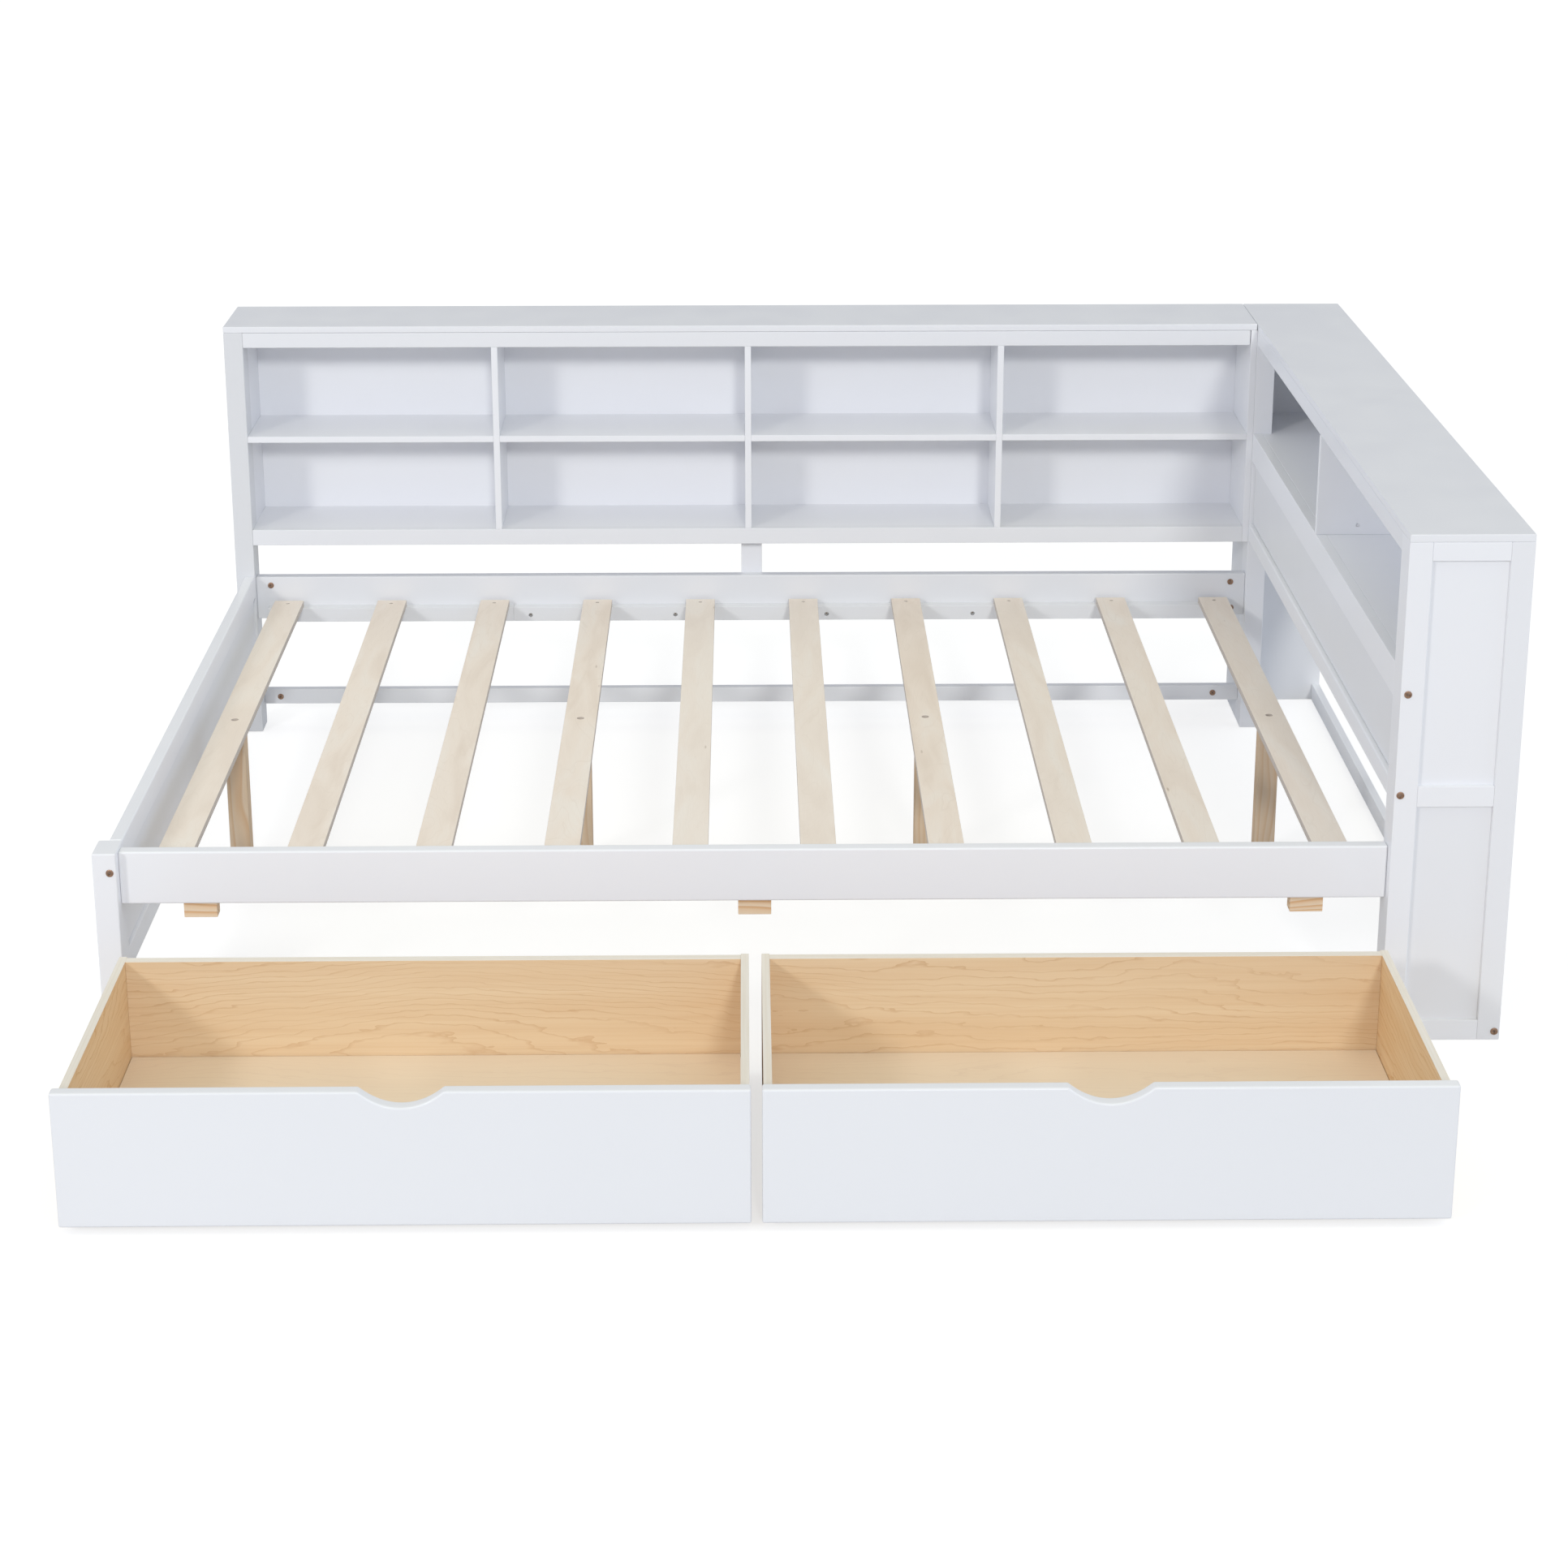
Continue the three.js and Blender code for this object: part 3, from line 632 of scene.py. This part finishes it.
def build_headboard_front_end():
    nodes = ["headboard_front_end"]
    low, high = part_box("headboard_front_end")
    face_back = low.y + END_THICKNESS
    inner, outer = low.x + STILE_WIDTH, high.x - STILE_WIDTH
    ledge_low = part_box("headboard_inner_board")[0].z
    apron_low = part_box("headboard_top_board")[0].z
    white_board("headboard_inner_stile", low, (inner, high.y, high.z), nodes, along=Z, edge=STILE_EDGE)
    white_board("headboard_outer_stile", (outer, low.y, low.z), high, nodes, along=Z, edge=STILE_EDGE,
                grey=PAINTED_SHADE_RAILS)
    rails = {"bottom": (low.z, low.z + END_RAIL), "middle": (ledge_low, ledge_low + LEDGE_RAIL),
             "top": (apron_low, high.z)}
    for name, (z0, z1) in rails.items():
        white_board(f"headboard_end_{name}_rail", (inner, low.y, z0), (outer, face_back, z1), nodes,
                    edge=STILE_EDGE)
    panel = low.y + PANEL_RECESS
    # The lower panel's grey is painted shade.
    spans = {"lower": (rails["bottom"][1], rails["middle"][0], PAINTED_SHADE_RAILS),
             "upper": (rails["middle"][1], rails["top"][0], 0.0)}
    for name, (z0, z1, grey) in spans.items():
        white_board(f"headboard_end_{name}_panel", (inner - TONGUE, panel, z0 - TONGUE),
                    (outer + TONGUE, panel + PANEL_THICKNESS, z1 + TONGUE), nodes,
                    along=Z, edge=THIN_EDGE, grey=grey)


def build_headboard_rear():
    nodes = ["headboard_back_post"]
    low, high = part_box("headboard_back_post")
    post_back = low.y + BACK_POST
    white_board("headboard_back_post_board", low, (high.x, post_back, high.z), nodes,
                along=Z, edge=STILE_EDGE)
    white_board("headboard_corner_panel", (low.x, post_back, low.z), (low.x + FACE_RAIL, high.y, high.z),
                nodes, along=Z, grey=PAINTED_SHADE_BACK)
    white_node("headboard_back_end", Z, FACE_EDGE, grey=PAINTED_SHADE_BACK)


def build_headboard_shelving():
    nodes = ["headboard_top_board"]
    low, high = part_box("headboard_top_board")
    under_top = high.z - TOP_THICKNESS
    front_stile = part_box("headboard_front_end")[1].y
    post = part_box("headboard_back_post")[0].y
    white_board("headboard_top", (low.x, low.y, under_top), high, nodes, along=Y, edge=FACE_EDGE,
                grey=PAINTED_SHADE_TOPS)
    white_board("headboard_apron", (low.x + SEAM, front_stile, low.z),
                (low.x + FACE_RAIL, post, under_top - SEAM), nodes, along=Y, edge=FACE_EDGE, grey=PAINTED_SHADE_RAILS)

    nodes = ["headboard_inner_board"]
    low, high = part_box("headboard_inner_board")
    ledge_top = low.z + LEDGE_RAIL
    shelf_rail = high.z - SHELF_RAIL
    panel = low.x + PANEL_RECESS
    white_board("headboard_ledge_rail", low, (high.x, high.y, ledge_top), nodes, along=Y,
                edge=ROUND_EDGE, segments=ROUND_STEPS)
    white_board("headboard_shelf_rail", (low.x, low.y, shelf_rail), high, nodes, along=Y, edge=FACE_EDGE)
    white_board("headboard_inner_panel", (panel, low.y + PANEL_FRONT_GAP, ledge_top + SILL_GAP),
                (panel + PANEL_THICKNESS, high.y - PANEL_GAP, shelf_rail + TONGUE), nodes,
                along=Y, edge=THIN_EDGE, grey=PAINTED_SHADE_BACK)

    white_node("headboard_outer_panel", Y, STILE_EDGE)
    white_node("headboard_outer_stretcher", Y, STILE_EDGE)
    white_node("headboard_shelf", Y, SHELF_EDGE)
    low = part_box("headboard_divider")[0]
    inward, height = DIVIDER_PIN
    holes = [((low.x + inward, low.y, height), (0, 1, 0), PIN_HOLE, DIVIDER_PIN_DEPTH)]
    white_node("headboard_divider", X, LIGHT_EDGE, holes=holes)


# ---------------------------------------------------------------- drawers

def band_top_edges(piece):
    """The top edges of the drawer boxes carry a pale edge band."""
    piece.data.materials.append(MAPLE)
    piece.data.materials.append(BAND)
    rim = 0.002
    top = max(c[2] for c in piece.bound_box)
    for face in piece.data.polygons:
        faces_up = face.normal.z > 0.3
        if faces_up and face.center.z > top - rim:
            face.material_index = 1


def laminate_board(name, low, high, nodes, body, along, banded=False, edge=LAMINATE_EDGE, tone=0.0):
    piece = new_object(name, block(low, high, edge))
    if banded:
        band_top_edges(piece)
    return dress(piece, body, MAPLE, nodes, along, tone=tone)


def deepen_scoop(bm):
    """Makes the finger grip in the middle of the top edge narrower and deeper."""
    slack = 0.001
    top = max(vert.co.z for vert in bm.verts)
    sides = [vert.co.x for vert in bm.verts]
    middle = (min(sides) + max(sides)) / 2
    (cad_width, cad_depth), (width, depth) = CAD_SCOOP, SCOOP
    for vert in bm.verts:
        across = vert.co.x - middle
        down = top - vert.co.z
        if abs(across) < cad_width / 2 + slack and down < cad_depth + slack:
            vert.co.x = middle + across * width / cad_width
            vert.co.z = top - down * depth / cad_depth


def drawer_front(side, body):
    node = f"{side}_drawer_front"
    piece = new_object(f"{side}_drawer_face", eased_copy(node, ROUND_EDGE, ROUND_STEPS, deepen_scoop))
    # The fronts' grey is painted shade.
    dress(piece, body, LACQUER, [node], X, tone=PAINTED_SHADE_FRONTS)


def ring(bm, centre, radius, x, corners):
    """A ring of vertices round a line along X. Its radius is a number, or a function of the angle."""
    points = []
    for step in range(corners):
        angle = 2 * math.pi * step / corners
        reach = radius(angle) if callable(radius) else radius
        y = centre.y + reach * math.cos(angle)
        z = centre.z + reach * math.sin(angle)
        points.append(bm.verts.new((x, y, z)))
    return points


def join_rings(bm, rings):
    for a, b in zip(rings, rings[1:]):
        for i in range(len(a)):
            j = (i + 1) % len(a)
            bm.faces.new((a[i], a[j], b[j], b[i]))


def build_wheel(side, end, hand):
    """A moulded wheel: a crowned tread, a sunk web and a hub round the bore.

    The small steps in its profile are its rounded corners.
    """
    bore, hub, web = 0.0033, 0.0074, 0.0108     # radii: the web reaches from the hub to the tread's inside
    sunk, lip = 0.0028, 0.0006                  # how far the web and the moulded lips lie below the rim
    corners = 48
    node = f"{side}_drawer_{end}_{hand}_wheel"
    low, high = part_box(node)
    centre = (low + high) / 2
    radius = (high.z - low.z) / 2
    half = (high.x - low.x) / 2
    profile = [(bore, -half), (hub - 0.0009, -half), (hub - 0.0002, -half + lip), (hub, -half + sunk),
               (web, -half + sunk), (web + 0.0004, -half + lip), (web + 0.0010, -half),
               (radius - 0.0012, -half), (radius - 0.0003, -half + 0.0009), (radius, -half + 0.0024)]
    profile += [(r, -x) for r, x in reversed(profile)]
    bm = bmesh.new()
    rings = [ring(bm, centre, r, centre.x + x, corners) for r, x in profile]
    join_rings(bm, rings + rings[:1])
    bmesh.ops.recalc_face_normals(bm, faces=bm.faces[:])
    piece = new_object(node + "_moulded", bm)
    dress(piece, node, NYLON, [node], X, sharp_angle=40)


def bracket_cheek(outline, inner, outer, edge):
    """A flat plate that fills an outline of (y, z) points, from one X to another."""
    cheek = bmesh.new()
    ends = [[cheek.verts.new((x, y, z)) for y, z in outline] for x in (inner, outer)]
    for end in ends:
        cheek.faces.new(end)
    join_rings(cheek, ends)
    bmesh.ops.recalc_face_normals(cheek, faces=cheek.faces[:])
    bmesh.ops.bevel(cheek, geom=cheek.edges[:], offset=edge, segments=1, affect="EDGES", clamp_overlap=True)
    return cheek


def bracket_axle(centre, radius, half):
    """A plain round pin along X."""
    corners = 24
    axle = bmesh.new()
    rings = [ring(axle, centre, radius, centre.x + x, corners) for x in (-half, half)]
    join_rings(axle, rings)
    for end in rings:
        axle.faces.new(end)
    bmesh.ops.recalc_face_normals(axle, faces=axle.faces[:])
    return axle


def build_bracket(side, number, body, axle, top):
    """A folded steel bracket with its riveted axle: a plate under the drawer's bottom and two cheeks."""
    half, steel, length, foot = 0.009, 0.002, 0.030, 0.012
    below_axle, under_plate = 0.006, 0.0005
    axle_radius, axle_sunk = 0.003, 0.001
    edge = 0.0004
    outline = [(axle.y - foot / 2, axle.z - below_axle), (axle.y + foot / 2, axle.z - below_axle),
               (axle.y + length / 2, top - under_plate), (axle.y - length / 2, top - under_plate)]
    parts = [block((axle.x - half, axle.y - length / 2, top - steel),
                   (axle.x + half, axle.y + length / 2, top), edge, 1)]
    for sign in (-1, 1):
        parts.append(bracket_cheek(outline, axle.x + sign * (half - steel), axle.x + sign * half, edge))
    parts.append(bracket_axle(axle, axle_radius, half - axle_sunk))
    bm = bmesh.new()
    for part in parts:
        mesh = bpy.data.meshes.new("part")
        part.to_mesh(mesh)
        part.free()
        bm.from_mesh(mesh)
        bpy.data.meshes.remove(mesh)
    piece = new_object(f"{side}_wheel_bracket_{number}", bm)
    dress(piece, body, ZINC, [f"{side}_drawer_bottom"], Y, sharp_angle=30)


def build_drawer(side):
    body = f"{side}_drawer"
    drawer_front(side, body)
    for hand in ("left", "right"):
        node = f"{side}_drawer_{hand}_side"
        laminate_board(node + "_board", *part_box(node), [node], body, Y, banded=True)
    node = f"{side}_drawer_back"
    # Painted light: the back and the bottom are drawn paler than the sides.
    laminate_board(node + "_board", *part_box(node), [node], body, X, banded=True, tone=PAINTED_LIGHT_BACKS)
    node = f"{side}_drawer_bottom"
    low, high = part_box(node)
    underside = high.z - BOTTOM_THICKNESS
    laminate_board(node + "_board", (low.x + BOTTOM_GAP, low.y, underside),
                   (high.x - BOTTOM_GAP, high.y - BOTTOM_GAP, high.z), [node], body, X,
                   edge=BOTTOM_EDGE, tone=PAINTED_LIGHT_BOTTOMS)
    number = 0
    for end in ("front", "back"):
        for hand in ("left", "right"):
            number += 1
            wheel_low, wheel_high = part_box(f"{side}_drawer_{end}_{hand}_wheel")
            build_bracket(side, number, body, (wheel_low + wheel_high) / 2, underside)
            build_wheel(side, end, hand)


# ---------------------------------------------------------------- bolts, screws and nails

def hexagon(across_flats, angle):
    """How far a hexagon's edge is from its middle at this angle."""
    sector = math.pi / 3
    return across_flats / 2 / math.cos((angle % sector) - sector / 2)


def add_head(bm, point, outward, radius, socket, height, depth):
    """A round flat head with a hexagon socket, standing on a surface.

    Its profile goes up the side, round the rim, and in over the top to the socket.
    """
    corners = 30
    taper = 0.94            # of the socket, and of the head's side
    dish = 0.7 * height     # the middle of the head lies a little lower than its rim
    turn = Vector(outward).to_track_quat("X", "Z").to_matrix().to_4x4()
    matrix = Matrix.Translation(point) @ turn
    zero = Vector((0, 0, 0))
    profile = [(radius, 0.0), (radius, 0.35 * height), (radius * taper, 0.8 * height),
               (radius * 0.84, height), (radius * 0.62, height), (radius * 0.58, dish)]
    rings = [ring(bm, zero, r, x, corners) for r, x in profile]
    for width, x in ((socket, dish), (socket * taper, dish - depth)):
        rings.append(ring(bm, zero, lambda angle: hexagon(width, angle), x, corners))
    join_rings(bm, rings)
    floor = bm.faces.new(rings[-1])
    # The socket's floor takes the second material, darker for painted shade.
    floor.material_index = 1
    bmesh.ops.transform(bm, matrix=matrix, verts=[v for r in rings for v in r])


def build_heads(name, heads, material):
    """Heads of one kind as one piece: each is (point, outward, radius, socket, height, depth)."""
    bm = bmesh.new()
    for head in heads:
        add_head(bm, *head)
    bmesh.ops.recalc_face_normals(bm, faces=bm.faces[:])
    piece = new_object(name, bm)
    piece.data.materials.append(material)
    piece.data.materials.append(SOCKET_SHADE)
    dress(piece, "bed", material, sharp_angle=35)


def build_frame_bolts():
    heads = []
    for node, end, inset, height in BOLTS:
        low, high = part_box(node)
        x = low.x + inset if end == "low" else high.x - inset
        y = high.y - RAIL_THICKNESS if node == "back_rail" else low.y
        heads.append((Vector((x, y, height)), (0, -1, 0), *BOLT_HEAD))
    build_heads("frame_bolts", heads, BRONZE)


def build_screws(slat_heads):
    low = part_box("back_rail")[0]
    screws = [(Vector((low.x + along, low.y + LEDGE_HEAD_SINK, low.z + LEDGE_SCREW_HEIGHT)), (0, -1, 0),
               *LEDGE_SCREW_HEAD) for along in BACK_LEDGE_SCREWS]
    screws += [(point, outward, radius, radius * SUNK_SOCKET_SHARE, SUNK_HEAD_HEIGHT, SUNK_SOCKET_DEPTH)
               for point, outward, radius in slat_heads]
    build_heads("zinc_screws", screws, ZINC)


def build_panel_nails():
    """Small nails that hold the back panel to the boards it closes."""
    low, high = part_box("bookcase_back_panel")
    columns = (low.x + NAIL_COLUMN_SPACING, (low.x + high.x) / 2, high.x - NAIL_COLUMN_SPACING)
    spots = [(x, z) for x in columns for z in NAIL_COLUMN]
    for step in range(NAILS_PER_ROW):
        share = step / (NAILS_PER_ROW - 1)
        x = low.x + NAIL_ROW_INSET + (high.x - low.x - 2 * NAIL_ROW_INSET) * share
        spots += [(x, low.z + BOTTOM_ROW), (x, MIDDLE_ROW), (x, high.z - TOP_ROW)]
    heads = [(Vector((x, high.y, z)), (0, 1, 0), *NAIL_HEAD) for x, z in spots]
    build_heads("panel_nails", heads, ZINC)


# ---------------------------------------------------------------- stage, light and camera

FLOOR_GLOW = 0.06                   # what the floor throws back at the bed
FLOOR_SEEN = 0.62                   # and what it adds to its own look
FLOOR_SIZE = 40
FLOOR_DROP = 0.0005                 # the floor lies this far below the feet, so that no faces coincide
SIDE_WALLS = (1.06, 1.20, 1.36)     # cool light from the left and the right
LEAN = 0.30                         # how much more the right-hand one gives than the mean of the two
CEILING = (0.82, 0.79, 0.42)        # warm light from overhead
ALL_ROUND = (0.0, 0.0, 0.14)        # and a little blue from everywhere

LAMP_TARGET = Vector((0, 0.2, 0.4))
KEY_PLACE = Vector((-6.1, -8.1, 4.9))
KEY_SIDE = 1.3
KEY_WATTS = 275
KEY_TINT = (1.0, 0.99, 0.97)
FILL_TURN, FILL_RISE, FILL_SPREAD = 7, 22, 6        # degrees
FILL_DISTANCE = 6                   # of the lamp's symbol only, since it is a sun
FILL_STRENGTH = 0.85
FILL_TINT = (0.94, 0.95, 0.94)

LENS = 71.57                        # millimetres, on a sensor 36 wide
SENSOR = 36
LENS_SHIFT = -0.12
CAMERA_PLACE = (-0.0875, -4.8888, 2.1075)
CAMERA_TURN = (1.265, 0, -0.013)
DISPLAY_GAMMA = 1.25


def build_stage():
    bm = bmesh.new()
    bmesh.ops.create_grid(bm, x_segments=2, y_segments=2, size=FLOOR_SIZE)
    floor = new_object("floor", bm)
    g = Nodes("pale_floor", Specular_IOR_Level=0.1)
    place = g.add("TexCoord", {}).outputs["Object"]
    cloud = g.noise(place, scale=0.7, detail=3.0)
    g.finish(g.mix(cloud, (0.55, 0.55, 0.55), (0.57, 0.57, 0.57)), g.spread(cloud, 0, 1, 0.7, 0.8))
    g.shader.inputs["Emission Color"].default_value = (1, 1, 1, 1)
    seen = g.add("LightPath", {}).outputs["Is Camera Ray"]
    g.feed(g.shader.inputs["Emission Strength"], g.spread(seen, 0.0, 1.0, FLOOR_GLOW, FLOOR_SEEN))
    floor.data.materials.append(g.material)
    floor.location.z = -FLOOR_DROP


def build_world():
    """A white studio: cool light from its side walls, warm light from overhead, and white to the camera."""
    world = bpy.data.worlds.new("white_studio")
    bpy.context.scene.world = world
    world.use_nodes = True
    g = Nodes(world=world)
    direction = g.split(g.add("TexCoord", {}).outputs["Generated"])
    sideways = g.math("MULTIPLY", direction["X"], direction["X"])
    sideways = g.math("MULTIPLY", sideways, g.spread(direction["X"], -1.0, 1.0, 1.0 - LEAN, 1.0 + LEAN))
    upward = g.math("MULTIPLY", direction["Z"], direction["Z"])
    light = g.vector("MULTIPLY", g.join(sideways, sideways, sideways), SIDE_WALLS)
    light = g.vector("ADD", light, g.vector("MULTIPLY", g.join(upward, upward, upward), CEILING))
    room = g.add("Background", {"Color": g.vector("ADD", light, ALL_ROUND), "Strength": 1.0})
    backdrop = g.add("Background", {"Color": (1, 1, 1, 1), "Strength": 1.0})
    seen = g.add("LightPath", {}).outputs["Is Camera Ray"]
    both = g.add("MixShader", {0: seen, 1: room.outputs[0], 2: backdrop.outputs[0]})
    output = g.add("OutputWorld", {})
    g.tree.links.new(both.outputs[0], output.inputs["Surface"])


def add_lamp(name, lamp, place):
    holder = bpy.data.objects.new(name, lamp)
    bpy.context.scene.collection.objects.link(holder)
    holder.location = place
    holder.rotation_euler = (place - LAMP_TARGET).to_track_quat("Z", "Y").to_euler()


def build_lamps():
    """A soft box far out on the left of the camera, and a broad sun just right of it."""
    key = bpy.data.lights.new("key_soft_box", "AREA")
    key.shape = "SQUARE"
    key.size = KEY_SIDE
    key.energy = KEY_WATTS
    key.color = KEY_TINT
    add_lamp("key_soft_box", key, KEY_PLACE)

    fill = bpy.data.lights.new("fill_soft_box", "SUN")
    fill.angle = math.radians(FILL_SPREAD)
    fill.energy = FILL_STRENGTH
    fill.color = FILL_TINT
    turn, rise = math.radians(FILL_TURN), math.radians(FILL_RISE)
    towards = Vector((math.sin(turn) * math.cos(rise), -math.cos(turn) * math.cos(rise), math.sin(rise)))
    add_lamp("fill_soft_box", fill, LAMP_TARGET + towards * FILL_DISTANCE)


def build_camera():
    lens = bpy.data.cameras.new("camera")
    lens.lens = LENS
    lens.sensor_width = SENSOR
    lens.shift_y = LENS_SHIFT
    lens.clip_end = 200
    camera = bpy.data.objects.new("camera", lens)
    bpy.context.scene.collection.objects.link(camera)
    camera.location = CAMERA_PLACE
    camera.rotation_euler = CAMERA_TURN
    bpy.context.scene.camera = camera


bpy.context.scene.view_settings.view_transform = "Standard"
bpy.context.scene.view_settings.gamma = DISPLAY_GAMMA
build_camera()
build_stage()
build_world()
build_lamps()
build_rails()
build_foot_end()
slat_heads = build_slats_and_legs()
build_drawer_stops()
build_back_supports()
build_back_bookcase()
build_headboard_front_end()
build_headboard_rear()
build_headboard_shelving()
for drawer_side in ("left", "right"):
    build_drawer(drawer_side)
build_frame_bolts()
build_screws(slat_heads)
build_panel_nails()
